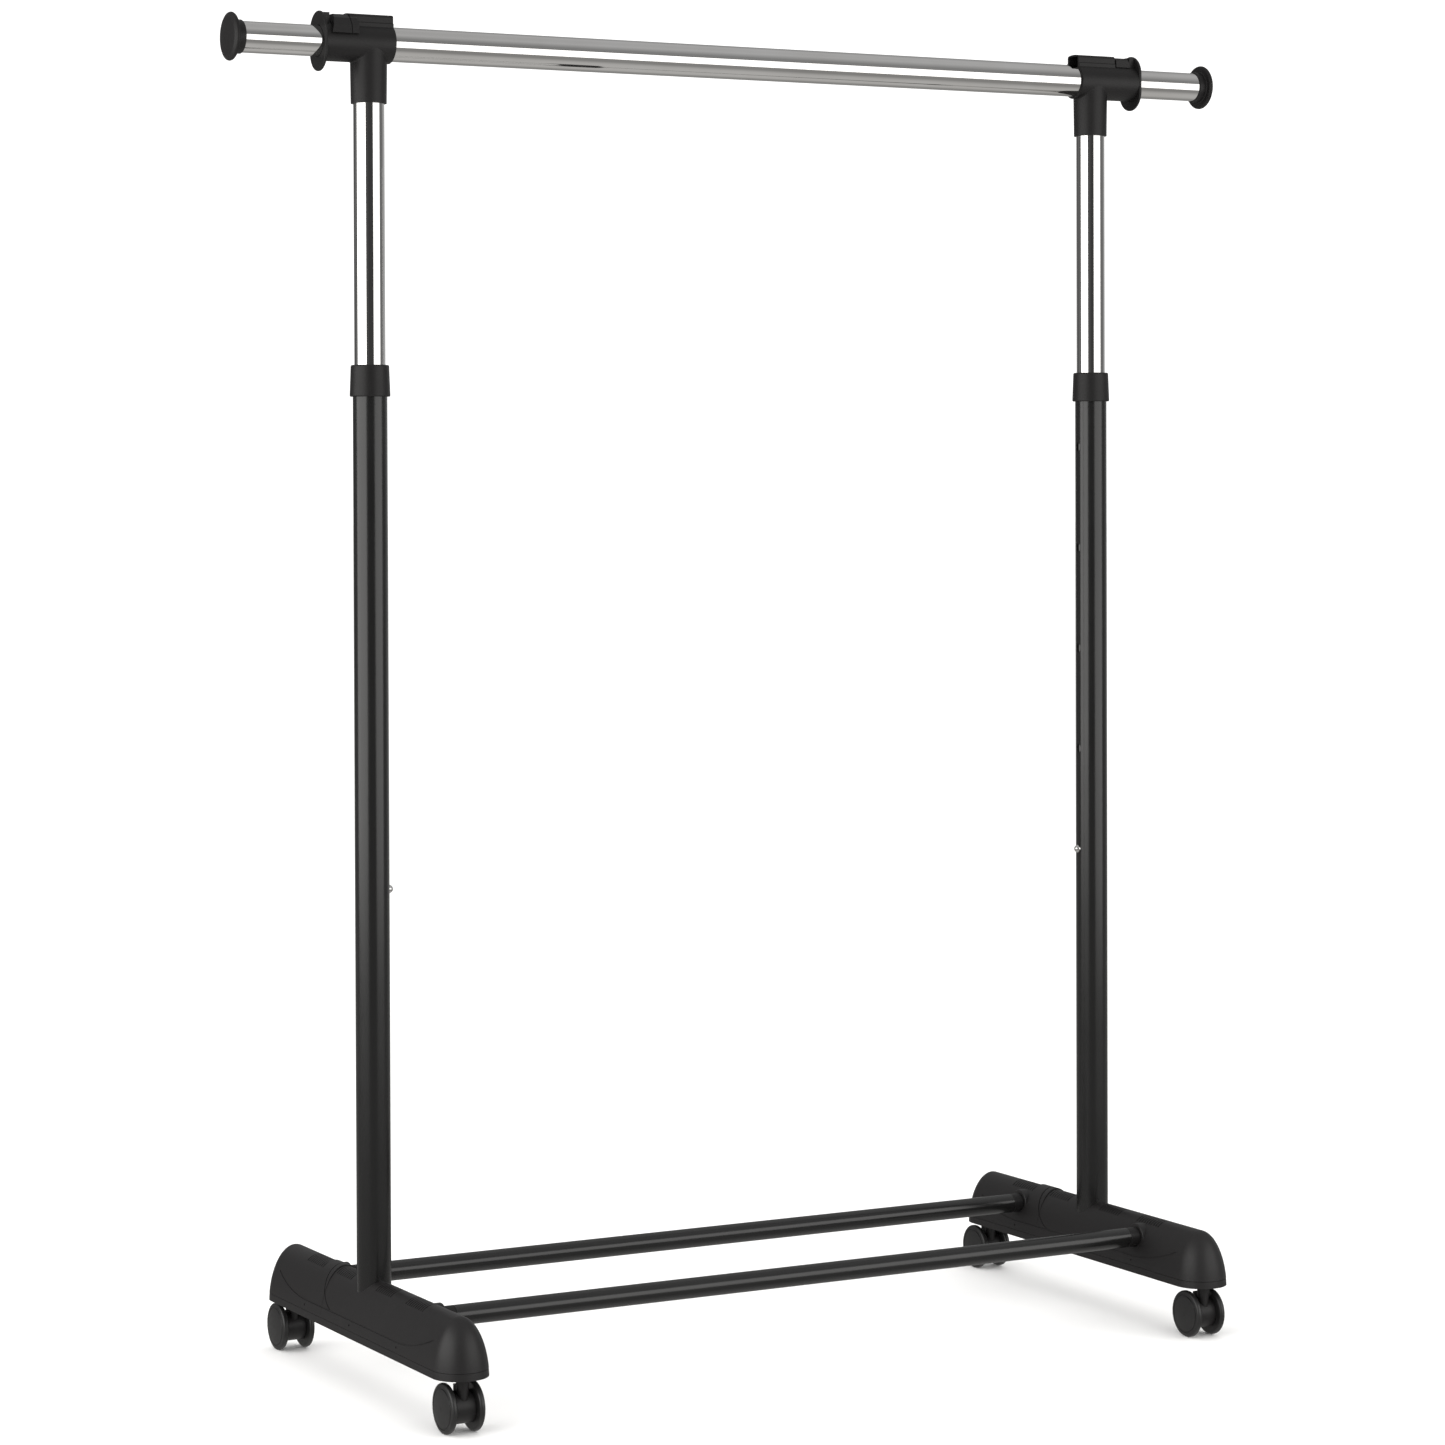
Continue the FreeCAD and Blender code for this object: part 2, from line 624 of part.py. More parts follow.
def vent_slots():
    """The slots of the four grilles across the foot's top."""
    pitch = 4.0
    slot_width = 1.3
    half_span = 11.0
    slots = []
    for end in (FRONT, BACK):
        for first, count in ((29.0, 9), (95.0, 10)):
            for number in range(count):
                middle = end * (first + number * pitch)
                span = (middle - slot_width / 2, middle + slot_width / 2)
                slots.append(box((-half_span, half_span), span, (84, 120)))
    return slots


def screw_places():
    return [(0, end * distance) for end in (FRONT, BACK) for distance in (75.0, 150.0)]


def foot_shell(inner_side):
    """The top moulding. inner_side is +1 where the shelf bars leave towards +X."""
    outer = foot_form(0, 0, FOOT_BOTTOM)
    skin_line = foot_form(-0.3, -1.8, FOOT_BOTTOM).cut(foot_form(0.6, 0.6, FOOT_BOTTOM - 1))
    lines = [prism.common(skin_line) for prism in side_lines()]
    ring = foot_form(0, -1.3, FOOT_BOTTOM).common(box((-40, 40), (66, 92), (60, 120)))
    marks = []
    for y in (-BAR_HALF_SPACING, 0, BAR_HALF_SPACING):
        marks.append(cylinder(1.1, vector(-40, y, 62.3), AXIS_X, 80).common(skin_line))
    skin = outer.fuse(ring).common(above(FOOT_SEAM)).cut(foot_form(FOOT_WALL, FOOT_WALL, FOOT_BOTTOM - 1))
    skin = skin.cut(lines).cut(vent_slots()).cut(marks)

    cavity_fill = foot_form(FOOT_WALL - 0.4, FOOT_WALL - 0.4, FOOT_BOTTOM)
    column_socket = cylinder(LOWER_TUBE_RADIUS + 2.6, vector(0, 0, LOWER_TUBE_BOTTOM), AXIS_Z, 60)
    posts = [cylinder(4.2, vector(x, y, FOOT_SEAM), AXIS_Z, 60) for x, y in screw_places()]
    inside = [piece.common(cavity_fill) for piece in [column_socket] + posts]
    bosses = []
    for end in (FRONT, BACK):
        start = vector(inner_side * 3, end * BAR_HALF_SPACING, BAR_HEIGHT)
        length = BAR_BOSS_FACE - 3
        boss = cylinder(BAR_BOSS_RADIUS, start, AXIS_X * inner_side, length)
        rim = [edge for edge in boss.Edges if abs(edge.CenterOfMass.x) > BAR_BOSS_FACE - 0.5]
        bosses.append(boss.makeFillet(1.2, [edge for edge in rim if edge.BoundBox.XLength < 0.1]))
    body = fused(skin, *inside, *bosses)
    holes = [cylinder(LOWER_TUBE_RADIUS, vector(0, 0, LOWER_TUBE_BOTTOM - 1), AXIS_Z, 80)]
    for end in (FRONT, BACK):
        start = vector(inner_side * 5, end * BAR_HALF_SPACING, BAR_HEIGHT)
        holes.append(cylinder(BAR_RADIUS - TUBE_WALL, start, AXIS_X * inner_side, 30))
        boss_face = vector(inner_side * BAR_BOSS_FACE, end * BAR_HALF_SPACING, BAR_HEIGHT)
        holes.append(cylinder(BAR_RADIUS + GUIDE_CLEARANCE, boss_face, AXIS_X * inner_side, 10))
    for x, y in screw_places():
        holes.append(cylinder(1.5, vector(x, y, FOOT_SEAM - 1), AXIS_Z, 14))
    return body.cut(holes)


def foot_base():
    """The bottom moulding: a floor, a skirt below the seam, and bosses for casters and column."""
    skirt_top = FOOT_SEAM - FOOT_SEAM_GAP
    floor_top = FOOT_BOTTOM + FOOT_FLOOR
    lip_gap = 0.3
    skirt = foot_form(0.2, 0, FOOT_BOTTOM).cut(above(skirt_top))
    lip_outer = foot_form(FOOT_WALL + lip_gap, FOOT_WALL, FOOT_BOTTOM)
    lip = lip_outer.cut(above(FOOT_SEAM + 3.5))
    hollow = foot_form(FOOT_WALL + 1.9, FOOT_WALL, FOOT_BOTTOM).common(above(floor_top))
    body = skirt.fuse(lip).cut(hollow)
    boss_height = LOWER_TUBE_BOTTOM - FOOT_BOTTOM
    column_boss = cylinder(LOWER_TUBE_RADIUS + 1.5, vector(0, 0, FOOT_BOTTOM), AXIS_Z, boss_height)
    additions = [column_boss]
    holes = [
        cylinder(3.1, vector(0, 0, FOOT_BOTTOM - 1), AXIS_Z, 20),
        cylinder(7.0, vector(0, 0, FOOT_BOTTOM - 1), AXIS_Z, 6.0),
    ]
    for end in (FRONT, BACK):
        y = end * CASTER_HALF_SPACING
        additions.append(cylinder(SOCKET_RADIUS + 2.5, vector(0, y, FOOT_BOTTOM), AXIS_Z, 30))
        holes.append(cylinder(SOCKET_RADIUS, vector(0, y, FOOT_BOTTOM - 1), AXIS_Z, 32))
    for x, y in screw_places():
        additions.append(cylinder(4.6, vector(x, y, FOOT_BOTTOM), AXIS_Z, FOOT_SEAM - 0.3 - FOOT_BOTTOM))
        holes.append(cylinder(1.7, vector(x, y, FOOT_BOTTOM - 1), AXIS_Z, 12))
        holes.append(cylinder(3.4, vector(x, y, FOOT_BOTTOM - 1), AXIS_Z, 3.5))
    return fused(body, *additions).cut(holes)


def foot_screws():
    return [screw(vector(x, y, FOOT_BOTTOM + 2.5), AXIS_Z, 15.0) for x, y in screw_places()]


def caster_sockets():
    solids = []
    for end in (FRONT, BACK):
        start = vector(0, end * CASTER_HALF_SPACING, FOOT_BOTTOM + 0.3)
        bore = STEM_RADIUS + RUNNING_CLEARANCE
        solids.append(tube(SOCKET_RADIUS, bore, start, AXIS_Z, 33.0))
    return solids


def column_plug():
    start = vector(0, 0, LOWER_TUBE_BOTTOM)
    return tube(LOWER_TUBE_BORE, 3.0, start, AXIS_Z, 26.0)


def column_bolt():
    head_top = FOOT_BOTTOM + 5.0
    head = closed_face(
        [(6.0 * math.cos(math.radians(60 * k)), 6.0 * math.sin(math.radians(60 * k))) for k in range(6)],
        lambda x, y: vector(x, y, FOOT_BOTTOM + 1.0),
    ).extrude(vector(0, 0, 4.0))
    return head.fuse(cylinder(3.0, vector(0, 0, head_top - 0.5), AXIS_Z, 30.0)).removeSplitter()


def at_column(shape, side):
    moved = shape.copy()
    moved.translate(vector(side * COLUMN_HALF_SPACING, 0, 0))
    return moved


# ---------------------------------------------------------------- shelf bars


def bar_inner_half_length():
    return COLUMN_HALF_SPACING - BAR_BOSS_FACE - BAR_PLUG_COLLAR


def shelf_bar(end):
    half_length = bar_inner_half_length()
    start = vector(-half_length, end * BAR_HALF_SPACING, BAR_HEIGHT)
    return tube(BAR_RADIUS, BAR_RADIUS - TUBE_WALL, start, AXIS_X, 2 * half_length)


def bar_plugs(end):
    """The bar's two end plugs: a collar as wide as the bar, and a spigot each way."""
    spigot = BAR_RADIUS - TUBE_WALL
    spigot_length = 14.0
    edge = 0.5
    steps = [
        (0, -spigot_length),
        (spigot, -spigot_length),
        (spigot, 0),
        (BAR_RADIUS - edge, 0),
        (BAR_RADIUS, edge),
        (BAR_RADIUS, BAR_PLUG_COLLAR - edge),
        (BAR_RADIUS - edge, BAR_PLUG_COLLAR),
        (spigot, BAR_PLUG_COLLAR),
        (spigot, BAR_PLUG_COLLAR + spigot_length),
        (0, BAR_PLUG_COLLAR + spigot_length),
    ]
    plugs = []
    for side in (LEFT, RIGHT):
        origin = vector(side * bar_inner_half_length(), end * BAR_HALF_SPACING, BAR_HEIGHT)
        plugs.append(turned(steps, origin, outward(side)))
    return plugs


# ---------------------------------------------------------------- casters


def caster_place(side, end):
    return vector(side * COLUMN_HALF_SPACING, end * CASTER_HALF_SPACING, 0)


def caster_housing():
    """The hub between the wheels and the tapered boss that takes the stem, about the stem's axis."""
    hub_centre = vector(-HUB_HALF_WIDTH, CASTER_TRAIL, WHEEL_RADIUS)
    hub = cylinder(HUB_RADIUS, hub_centre, AXIS_X, 2 * HUB_HALF_WIDTH)
    boss_top = FOOT_BOTTOM - 1.0
    boss_bottom = WHEEL_RADIUS + 4.0
    boss = Part.makeCone(4.4, 6.3, boss_top - boss_bottom, vector(0, 0, boss_bottom), AXIS_Z)
    web = box((-3.2, 3.2), (0, CASTER_TRAIL + 5), (WHEEL_RADIUS, boss_top - 7))
    body = fused(hub, boss, web)
    stem_hole = cylinder(STEM_RADIUS, vector(0, 0, WHEEL_RADIUS + 8), AXIS_Z, 40)
    axle_hole = cylinder(AXLE_RADIUS, hub_centre, AXIS_X, 2 * HUB_HALF_WIDTH)
    return body.cut([stem_hole, axle_hole])


def caster_pins():
    """The steel stem, with its grip ring, and the axle."""
    bottom = WHEEL_RADIUS + 8
    steps = [
        (0, bottom),
        (STEM_RADIUS, bottom),
        (STEM_RADIUS, STEM_TOP - 1),
        (STEM_RADIUS - 1, STEM_TOP),
        (0, STEM_TOP),
    ]
    stem = turned(steps, vector(0, 0, 0), AXIS_Z)
    start = vector(-AXLE_HALF_LENGTH, CASTER_TRAIL, WHEEL_RADIUS)
    axle = cylinder(AXLE_RADIUS, start, AXIS_X, 2 * AXLE_HALF_LENGTH)
    return [stem, axle]


def caster_wheel(outward_sign):
    """One wheel: a flat inner face, a round-edged tread, a groove, and a domed outer face."""
    face = WHEEL_INNER_FACE
    bore = AXLE_RADIUS + RUNNING_CLEARANCE
    rim = WHEEL_RADIUS
    bore_end = AXLE_HALF_LENGTH + 0.3
    dome_edge = rim - 5.4
    steps = [
        (bore, face),
        (rim - 2.6, face),
        ((rim - 0.75, face + 0.75), (rim, face + 2.6)),
        (rim, face + 3.4),
        ((rim - 0.6, face + 4.9), (rim - 2.2, face + 5.6)),
        (rim - 3.8, face + 5.9),
        (rim - 4.2, face + 5.3),
        (rim - 4.9, face + 5.3),
        (dome_edge, face + 6.1),
        dome(dome_edge, face + 6.1, face + 7.2),
        (0, bore_end),
        (bore, bore_end),
    ]
    return turned(steps, vector(0, CASTER_TRAIL, WHEEL_RADIUS), AXIS_X * outward_sign)


def at_caster(shape, side, end):
    moved = shape.copy()
    moved.translate(caster_place(side, end))
    return moved


# ---------------------------------------------------------------- writing the pieces


def write_side(side):
    name = SIDE_NAME[side]
    save(name + "_foot_shell", at_column(foot_shell(-side), side))
    save(name + "_foot_base", at_column(foot_base(), side))
    save(name + "_foot_screws", *[at_column(solid, side) for solid in foot_screws()])
    save(name + "_caster_sockets", *[at_column(solid, side) for solid in caster_sockets()])
    save(name + "_column_plug", at_column(column_plug(), side))
    save(name + "_column_bolt", at_column(column_bolt(), side))
    save(name + "_lower_tube", lower_tube(side))
    save(name + "_collar", collar(side))
    save(name + "_upright", upright_with_screw_hole(side))
    save(name + "_upright_glide", glide(column_point(side, UPRIGHT_BOTTOM), AXIS_Z, UPRIGHT_BORE))
    save(name + "_snap_button", snap_button(side))
    save(name + "_button_spring", leaf_spring(side))
    save(name + "_tee", tee(side))
    save(name + "_tee_fasteners", *tee_fasteners(side))
    save(name + "_lock_lever", lock_lever(side))
    save(name + "_extension_rod", extension_rod(side))
    save(name + "_rod_glide", rod_glide(side))
    save(name + "_end_cap", end_cap(side))


def write_caster(side, end):
    name = SIDE_NAME[side] + "_" + END_NAME[end] + "_caster"
    save(name + "_housing", at_caster(caster_housing(), side, end))
    save(name + "_pins", *[at_caster(solid, side, end) for solid in caster_pins()])
    save(name + "_outer_wheel", at_caster(caster_wheel(side), side, end))
    save(name + "_inner_wheel", at_caster(caster_wheel(-side), side, end))


os.makedirs("parts", exist_ok=True)
save("rail", rail_with_screw_holes())
for end_of_foot in (FRONT, BACK):
    save(END_NAME[end_of_foot] + "_shelf_bar", shelf_bar(end_of_foot))
    save(END_NAME[end_of_foot] + "_bar_plugs", *bar_plugs(end_of_foot))
for side_of_rail in (LEFT, RIGHT):
    write_side(side_of_rail)
    for end_of_foot in (FRONT, BACK):
        write_caster(side_of_rail, end_of_foot)
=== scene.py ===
import bpy
import json
import math
from mathutils import Matrix, Vector

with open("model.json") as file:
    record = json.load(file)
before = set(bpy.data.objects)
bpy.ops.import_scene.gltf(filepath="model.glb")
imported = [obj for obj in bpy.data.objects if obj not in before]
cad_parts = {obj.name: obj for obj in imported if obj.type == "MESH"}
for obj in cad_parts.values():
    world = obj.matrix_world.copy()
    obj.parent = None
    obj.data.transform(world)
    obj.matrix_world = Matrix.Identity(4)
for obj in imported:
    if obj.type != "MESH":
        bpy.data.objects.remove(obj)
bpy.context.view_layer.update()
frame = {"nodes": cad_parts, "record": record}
nodes = frame["nodes"]

# Lengths are in metres and angles in degrees.
MICRON = 0.000001
AXLE_HEIGHT = 0.0225

FLOOR_RADIUS = 60.0
FLOOR_RINGS = 10
FLOOR_SEGMENTS = 64

CAMERA_PLACE = (-1.85215, -3.33295, 0.84426)
CAMERA_YAW = 28.68
CAMERA_PITCH = 0.845
CAMERA_ROLL = 0.186
CAMERA_LENS = 98.48
CAMERA_SHIFT_UP = -0.134

WARM_GREY = (1.0, 0.985, 0.96)
COOL_BLACK = (1.04, 0.955, 0.975)
IVORY = (1.0, 0.98, 0.92)
LAMP_COLOR = (1.0, 0.99, 0.975)
BACKDROP_WHITE = (1.28, 1.275, 1.265, 1.0)


def rgb(value, tint=(1.0, 1.0, 1.0)):
    return (value * tint[0], value * tint[1], value * tint[2], 1.0)


# ---------------------------------------------------------------- node helpers


class Tree:
    """Adds nodes to a node tree. An input is a plain value or another node's output."""

    def __init__(self, tree):
        self.tree = tree

    def node(self, kind, inputs=None, **settings):
        made = self.tree.nodes.new(kind)
        for key, value in settings.items():
            setattr(made, key, value)
        for key, value in (inputs or {}).items():
            self.feed(made.inputs[key], value)
        return made

    def feed(self, socket, value):
        if isinstance(value, bpy.types.NodeSocket):
            self.tree.links.new(value, socket)
        else:
            socket.default_value = value

    def span(self, value, low, high, to_low, to_high):
        """Maps low..high onto to_low..to_high, and holds the ends."""
        inputs = {0: value, 1: low, 2: high, 3: to_low, 4: to_high}
        return self.node("ShaderNodeMapRange", inputs).outputs[0]

    def math(self, operation, first, second):
        return self.node("ShaderNodeMath", {0: first, 1: second}, operation=operation).outputs[0]

    def mix(self, factor, first, second):
        inputs = {0: factor, 6: first, 7: second}
        return self.node("ShaderNodeMix", inputs, data_type="RGBA").outputs[2]

    def ramp(self, factor, low, high, stops):
        """Grey levels at stops of (place, level, optional tint), placed in the factor's own unit."""
        made = self.node("ShaderNodeValToRGB", {0: self.span(factor, low, high, 0.0, 1.0)})
        elements = made.color_ramp.elements
        while len(elements) < len(stops):
            elements.new(0.5)
        for element, (place, level, *tint) in zip(elements, stops):
            element.position = (place - low) / (high - low)
            element.color = rgb(level, *tint)
        return made.outputs[0]


class Material(Tree):
    """A material's tree. Its patterns follow the object coordinates, which are the frame's own."""

    def __init__(self, name):
        self.material = bpy.data.materials.new(name)
        self.material.use_nodes = True
        super().__init__(self.material.node_tree)
        self.shader = self.tree.nodes["Principled BSDF"]
        self.coordinates = self.tree.nodes.new("ShaderNodeTexCoord").outputs["Object"]

    def stretched(self, scale):
        """The coordinates multiplied by a scale for each axis."""
        inputs = {0: self.coordinates, 1: scale}
        return self.node("ShaderNodeVectorMath", inputs, operation="MULTIPLY").outputs[0]

    def noise(self, scale, detail, roughness, vector=None, distortion=0.0):
        inputs = {
            "Vector": vector or self.coordinates,
            "Scale": scale,
            "Detail": detail,
            "Roughness": roughness,
            "Distortion": distortion,
        }
        return self.node("ShaderNodeTexNoise", inputs).outputs["Fac"]

    def spots(self, scale):
        inputs = {"Vector": self.coordinates, "Scale": scale}
        return self.node("ShaderNodeTexVoronoi", inputs).outputs["Distance"]

    def bump(self, height, distance, strength=1.0, normal=None):
        inputs = {"Height": height, "Distance": distance, "Strength": strength}
        if normal is not None:
            inputs["Normal"] = normal
        return self.node("ShaderNodeBump", inputs).outputs[0]

    def finish(self, **sockets):
        """Feeds the shader's inputs, whose names have underscores for spaces here."""
        for key, value in sockets.items():
            self.feed(self.shader.inputs[key.replace("_", " ")], value)
        return self.material


# ---------------------------------------------------------------- materials of the object


def chrome(name, reflectance, polish):
    """Bright chrome plate: a faint waviness along the tube, hairlines, and smudges in its polish."""
    m = Material(name)
    smudge = m.noise(14.0, 4.0, 0.6)
    hairline = m.noise(420.0, 2.0, 0.5, m.stretched((0.06, 1.0, 0.5)))
    dull = m.span(smudge, 0.42, 0.72, polish, polish + 0.03)
    rough = m.math("ADD", dull, m.span(hairline, 0.62, 0.8, 0.0, 0.025))
    clean = rgb(reflectance, (1.0, 0.993, 0.982))
    hazy = rgb(reflectance * 0.94, (1.0, 0.985, 0.965))
    color = m.mix(m.span(smudge, 0.35, 0.75, 0.0, 1.0), clean, hazy)
    waves = m.bump(m.noise(6.0, 1.0, 0.4), 50 * MICRON)
    normal = m.bump(m.noise(1100.0, 2.0, 0.5), 0.6 * MICRON, 1.0, waves)
    return m.finish(Base_Color=color, Metallic=1.0, Roughness=rough, Normal=normal)


def powder_coat(name, value):
    """Black powder coat: fine orange peel, a satin gloss that varies a little, a few dust specks."""
    m = Material(name)
    peel = m.noise(900.0, 2.0, 0.5)
    broad = m.noise(8.0, 3.0, 0.6)
    speck = m.span(m.spots(190.0), 0.0, 0.035, 0.14, 0.0)
    base = m.mix(broad, rgb(value * 0.85), rgb(value * 1.2, (1.0, 0.98, 0.96)))
    color = m.mix(speck, base, rgb(0.10))
    satin = m.span(broad, 0.3, 0.7, 0.18, 0.23)
    rough = m.math("ADD", satin, m.span(peel, 0.3, 0.7, -0.02, 0.03))
    return m.finish(Base_Color=color, Roughness=rough, Normal=m.bump(peel, 4 * MICRON))


def plastic(name, value, rough, specular, grain_scale, grain_depth, wear, tint=COOL_BLACK):
    """Moulded plastic: fine spark-eroded grain, flow marks in the gloss, and pale rubbed patches."""
    m = Material(name)
    grain = m.noise(grain_scale, 3.0, 0.6)
    flow = m.noise(7.0, 3.0, 0.6, m.stretched((1.0, 0.45, 1.0)), 0.4)
    rub = m.span(m.noise(38.0, 5.0, 0.65), 0.56, 0.74, 0.0, wear)
    base = m.mix(flow, rgb(value * 0.86, tint), rgb(value * 1.16, tint))
    color = m.mix(rub, base, rgb(min(1.0, value * 2.4 + 0.02), tint))
    sheen = m.span(flow, 0.3, 0.7, rough - 0.05, rough + 0.05)
    gloss = m.math("ADD", sheen, m.span(grain, 0.3, 0.7, -0.04, 0.05))
    pits = m.bump(grain, grain_depth, 0.9)
    normal = m.bump(m.noise(90.0, 2.0, 0.5), 50 * MICRON, 0.3, pits)
    return m.finish(Base_Color=color, Roughness=gloss, Specular_IOR_Level=specular, Normal=normal)


def plated_steel(name, value, rough_low, rough_high):
    """Zinc-plated or oiled steel: short brushing and clouded plating."""
    m = Material(name)
    cloud = m.noise(160.0, 4.0, 0.6)
    brush = m.noise(900.0, 2.0, 0.5, m.stretched((1.0, 1.0, 0.12)))
    cool = rgb(value * 0.8, (1.0, 1.0, 1.03))
    yellowed = rgb(value * 1.1, (1.0, 0.99, 0.95))
    clouded = m.span(cloud, 0.3, 0.7, rough_low, rough_high)
    rough = m.math("ADD", clouded, m.span(brush, 0.3, 0.7, -0.05, 0.05))
    normal = m.bump(brush, 20 * MICRON, 0.7)
    color = m.mix(cloud, cool, yellowed)
    return m.finish(Base_Color=color, Metallic=1.0, Roughness=rough, Normal=normal)


def wheel_plastic(name, value, dust_top):
    """Hard caster plastic, scuffed all over and a little dusty below dust_top."""
    m = Material(name)
    separate = m.node("ShaderNodeSeparateXYZ", {0: m.coordinates})
    scuff = m.noise(240.0, 5.0, 0.65)
    dust = m.span(m.noise(60.0, 4.0, 0.6), 0.45, 0.7, 0.0, 1.0)
    low = m.span(separate.outputs["Z"], 0.0, dust_top, 1.0, 0.0)
    amount = m.math("MULTIPLY", m.math("MULTIPLY", dust, low), 0.25)
    base = m.mix(scuff, rgb(value * 0.8), rgb(value * 1.25, (1.0, 0.98, 0.97)))
    color = m.mix(amount, base, rgb(0.06, (1.0, 0.96, 0.9)))
    scuffed = m.span(scuff, 0.3, 0.7, 0.34, 0.46)
    rough = m.math("ADD", scuffed, m.math("MULTIPLY", amount, 0.4))
    return m.finish(Base_Color=color, Roughness=rough, Normal=m.bump(scuff, 15 * MICRON, 0.6))


materials = {
    "chrome_tube": chrome("chrome_tube", reflectance=0.64, polish=0.03),
    "chrome_small": chrome("chrome_small", reflectance=0.62, polish=0.06),
    "black_powder_coat": powder_coat("black_powder_coat", value=0.006),
    "foot_plastic": plastic(
        "foot_plastic",
        value=0.008,
        rough=0.45,
        specular=0.36,
        grain_scale=1500.0,
        grain_depth=20 * MICRON,
        wear=0.05,
    ),
    "black_plastic": plastic(
        "black_plastic",
        value=0.0065,
        rough=0.45,
        specular=0.27,
        grain_scale=1700.0,
        grain_depth=15 * MICRON,
        wear=0.04,
    ),
    "caster_plastic": plastic(
        "caster_plastic",
        value=0.008,
        rough=0.46,
        specular=0.35,
        grain_scale=1500.0,
        grain_depth=15 * MICRON,
        wear=0.06,
    ),
    "wheel_plastic": wheel_plastic("wheel_plastic", value=0.009, dust_top=AXLE_HEIGHT),
    "nylon": plastic(
        "nylon",
        value=0.55,
        rough=0.45,
        specular=0.5,
        grain_scale=1300.0,
        grain_depth=20 * MICRON,
        wear=0.1,
        tint=IVORY,
    ),
    "zinc_steel": plated_steel("zinc_steel", value=0.6, rough_low=0.24, rough_high=0.36),
    "spring_steel": plated_steel("spring_steel", value=0.34, rough_low=0.2, rough_high=0.3),
}

slot_of = {part["node"]: part["material_slot"] for part in frame["record"]["subparts"]}
for node_name, obj in nodes.items():
    material = materials[slot_of[node_name]]
    if not obj.material_slots:
        obj.data.materials.append(material)
    for material_slot in obj.material_slots:
        material_slot.material = material


# ---------------------------------------------------------------- floor


def floor_material():
    """Pale matt paper with a fine fibre and broad, faint clouding."""
    m = Material("floor_paper")
    fibre = m.noise(380.0, 4.0, 0.6)
    cloud = m.noise(0.8, 3.0, 0.5)
    color = m.mix(cloud, rgb(0.90), rgb(0.94, (1.0, 0.998, 0.99)))
    rough = m.span(fibre, 0.3, 0.7, 0.85, 0.95)
    normal = m.bump(fibre, 40 * MICRON, 0.3)
    return m.finish(Base_Color=color, Roughness=rough, Specular_IOR_Level=0.1, Normal=normal)


def make_floor(radius, rings, segments):
    """A disc of rings that crowd towards its middle. Reflections show the world's ground instead."""
    vertices = [(0.0, 0.0, 0.0)]
    faces = []
    for ring in range(1, rings + 1):
        ring_radius = radius * (ring / rings) ** 2
        for k in range(segments):
            angle = 2 * math.pi * k / segments
            vertices.append((ring_radius * math.cos(angle), ring_radius * math.sin(angle), 0.0))
    for k in range(segments):
        faces.append((0, 1 + k, 1 + (k + 1) % segments))
    for ring in range(1, rings):
        inner = 1 + (ring - 1) * segments
        outer = inner + segments
        for k in range(segments):
            after = (k + 1) % segments
            faces.append((inner + k, outer + k, outer + after, inner + after))
    mesh = bpy.data.meshes.new("studio_floor")
    mesh.from_pydata(vertices, [], faces)
    mesh.materials.append(floor_material())
    floor = bpy.data.objects.new("studio_floor", mesh)
    bpy.context.scene.collection.objects.link(floor)
    floor.visible_glossy = False


make_floor(FLOOR_RADIUS, FLOOR_RINGS, FLOOR_SEGMENTS)


# ---------------------------------------------------------------- light


def room_tones(studio):
    """The room that reflections show: walls whose tone goes round with the bearing, a grey floor
    below them and a grey ceiling above."""
    direction = studio.node("ShaderNodeTexCoord").outputs["Generated"]
    axes = studio.node("ShaderNodeSeparateXYZ", {0: direction})
    rise = axes.outputs["Z"]
    forward = studio.math("MULTIPLY", axes.outputs["Y"], -1.0)
    turn = studio.math("ARCTAN2", axes.outputs["X"], forward)
    bearing = studio.math("MULTIPLY", turn, 180.0 / math.pi)
    wall_stops = (
        (-180.0, 0.45),
        (-172.0, 0.12),
        (-155.0, 0.08),
        (-142.0, 0.25),
        (-130.0, 0.10),
        (-90.0, 0.16),
        (-48.0, 0.12),
        (-25.0, 0.06),
        (0.0, 0.06),
        (40.0, 0.25),
        (62.0, 0.24),
        (80.0, 0.20),
        (100.0, 0.42),
        (125.0, 0.62),
        (150.0, 0.40),
        (180.0, 0.45),
    )
    ground_stops = (
        (-1.0, 0.66, WARM_GREY),
        (-0.80, 0.60, WARM_GREY),
        (-0.62, 0.34, WARM_GREY),
        (-0.2, 0.32, WARM_GREY),
    )
    ceiling_stops = ((0.3, 0.36), (0.5, 0.30), (0.68, 0.44), (0.82, 0.58), (1.0, 0.50))
    walls = studio.ramp(bearing, -180.0, 180.0, wall_stops)
    ground = studio.ramp(rise, -1.0, 0.0, ground_stops)
    ceiling = studio.ramp(rise, 0.0, 1.0, ceiling_stops)
    below = studio.span(rise, -0.16, -0.06, 1.0, 0.0)
    above = studio.span(rise, 0.30, 0.42, 0.0, 1.0)
    return studio.mix(above, studio.mix(below, walls, ground), ceiling)


def studio_world():
    """White all round for light and background, and the room in reflections."""
    world = bpy.data.worlds.new("studio")
    bpy.context.scene.world = world
    world.use_nodes = True
    world.node_tree.nodes.clear()
    studio = Tree(world.node_tree)
    rays = studio.node("ShaderNodeLightPath")
    seen = studio.mix(rays.outputs["Is Glossy Ray"], BACKDROP_WHITE, room_tones(studio))
    background = studio.node("ShaderNodeBackground", {"Color": seen})
    studio.node("ShaderNodeOutputWorld", {"Surface": background.outputs[0]})


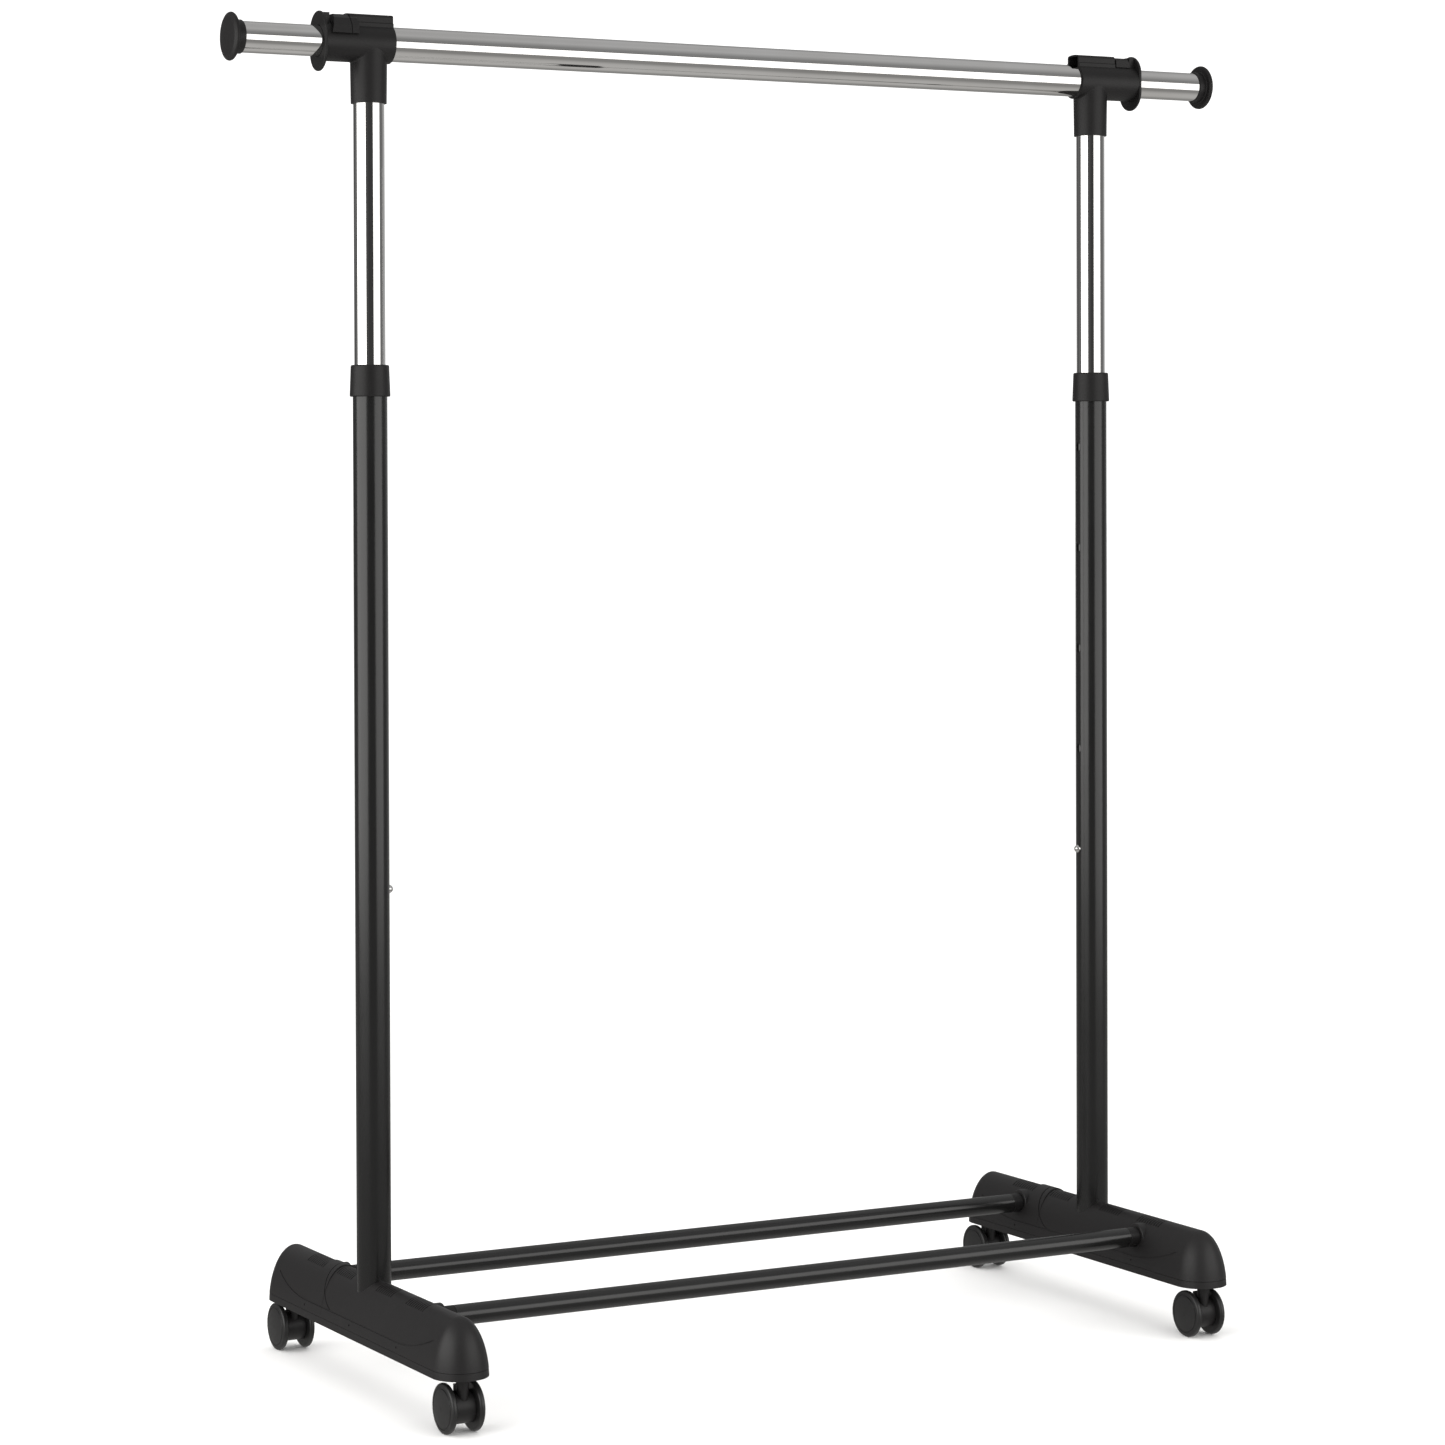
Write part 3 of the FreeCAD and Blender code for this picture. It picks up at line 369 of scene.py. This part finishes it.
def softbox(name, bearing, distance, width, low, high, strength):
    """An upright panel light. Its bearing is measured from the front (-Y) towards +X."""
    data = bpy.data.lights.new(name, "AREA")
    data.shape = "RECTANGLE"
    data.size = width
    data.size_y = high - low
    data.energy = strength * math.pi * width * (high - low)
    data.color = LAMP_COLOR
    lamp = bpy.data.objects.new(name, data)
    bpy.context.scene.collection.objects.link(lamp)
    angle = math.radians(bearing)
    place = Vector((distance * math.sin(angle), -distance * math.cos(angle), (low + high) / 2))
    facing = Vector((place.x, place.y, 0.0)).normalized()
    lamp.rotation_mode = "QUATERNION"
    lamp.rotation_quaternion = facing.to_track_quat("Z", "Y")
    lamp.location = place
    lamp.visible_camera = False


studio_world()
softbox("softbox_right", bearing=28.0, distance=2.95, width=3.2, low=0.05, high=2.1, strength=2.0)
softbox("softbox_left", bearing=-86.0, distance=3.2, width=4.3, low=0.1, high=2.3, strength=2.85)


# ---------------------------------------------------------------- camera


def make_camera():
    """Yaw turns from +Y towards +X, pitch looks down, and roll tips the level right downwards."""
    data = bpy.data.cameras.new("camera")
    data.sensor_width = 36.0
    data.lens = CAMERA_LENS
    data.shift_y = CAMERA_SHIFT_UP
    data.clip_start = 0.05
    data.clip_end = 300.0
    camera = bpy.data.objects.new("camera", data)
    bpy.context.scene.collection.objects.link(camera)
    yaw, pitch, roll = (math.radians(angle) for angle in (CAMERA_YAW, CAMERA_PITCH, CAMERA_ROLL))
    level = math.cos(pitch)
    forward = Vector((math.sin(yaw) * level, math.cos(yaw) * level, -math.sin(pitch)))
    level_right = Vector((math.cos(yaw), -math.sin(yaw), 0.0))
    down = forward.cross(level_right)
    right = level_right * math.cos(roll) + down * math.sin(roll)
    up = level_right * math.sin(roll) - down * math.cos(roll)
    turn = Matrix((right, up, -forward)).transposed()
    camera.matrix_world = Matrix.Translation(CAMERA_PLACE) @ turn.to_4x4()
    bpy.context.scene.camera = camera


make_camera()
view = bpy.context.scene.view_settings
view.view_transform = "Standard"
view.look = "None"
